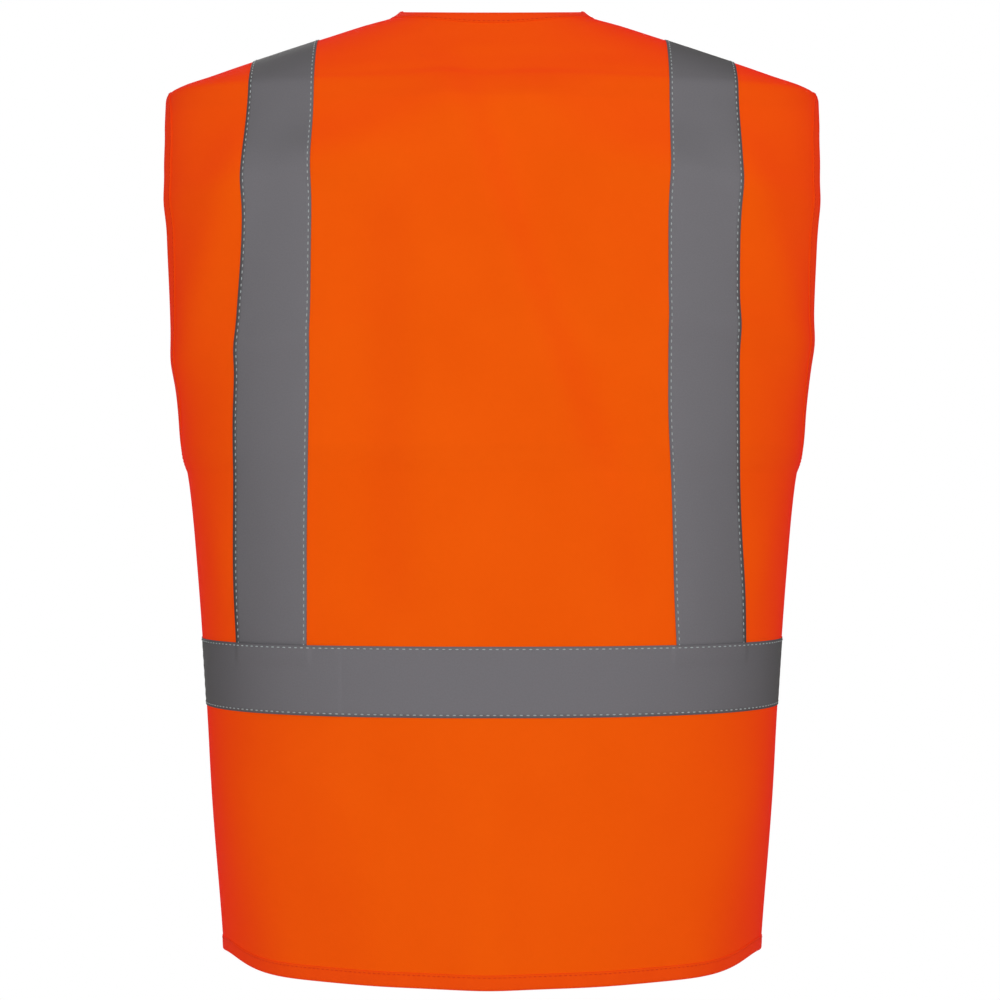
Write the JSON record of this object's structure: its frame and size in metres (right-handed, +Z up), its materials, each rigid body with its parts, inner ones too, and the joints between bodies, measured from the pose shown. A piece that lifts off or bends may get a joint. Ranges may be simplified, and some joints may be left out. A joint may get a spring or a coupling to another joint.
{
  "type": "high-visibility vest",
  "caption": "Sleeveless blaze orange work vest with grey reflective brace and waist tapes, bound edges and an opening front.",
  "frame": {"origin": "centre of the neck opening, at the height of the points where the neck meets the shoulder seams", "axes": "+Z up along the body, the fronts face -Y, the wearer's left is +X"},
  "size_m": [0.5014, 0.2771, 0.7185],
  "materials": {
    "vest_cloth": "smooth fluorescent orange knitted polyester",
    "binding": "woven orange edge binding",
    "reflective_tape": "grey glass-bead reflective tape, matt with a fine grain",
    "hook": "hook side of a touch fastener",
    "loop": "loop side of a touch fastener",
    "label": "blank white satin label"
  },
  "bodies": {
    "root": {"back_panel": "vest_cloth", "left_front_side": "vest_cloth", "right_front_side": "vest_cloth", "neck_binding": "binding", "hem_binding": "binding", "left_armhole_binding": "binding", "right_armhole_binding": "binding", "left_brace_tape": "reflective_tape", "right_brace_tape": "reflective_tape", "back_waist_tape": "reflective_tape", "left_side_waist_tape": "reflective_tape", "right_side_waist_tape": "reflective_tape", "neck_label": "label"},
    "left_front": {"left_front_flap": "vest_cloth", "left_front_binding": "binding", "left_front_waist_tape": "reflective_tape", "hook_patch_1": "hook", "hook_patch_2": "hook", "hook_patch_3": "hook", "hook_patch_4": "hook"},
    "right_front": {"right_front_flap": "vest_cloth", "right_front_binding": "binding", "right_front_waist_tape": "reflective_tape", "loop_patch_1": "loop", "loop_patch_2": "loop", "loop_patch_3": "loop", "loop_patch_4": "loop"}
  },
  "joints": [
    {"name": "left_front_open", "type": "hinge", "parent": "root", "child": "left_front", "pos_m": [0.095, -0.1255, 0], "axis": [0, 0, 1], "range_deg": [0, 90]},
    {"name": "right_front_open", "type": "hinge", "parent": "root", "child": "right_front", "pos_m": [-0.095, -0.1255, 0], "axis": [0, 0, -1], "range_deg": [0, 45]}
  ],
  "couplings": [
    {"joint": "right_front_open", "follows": "left_front_open", "ratio": 0.5}
  ]
}
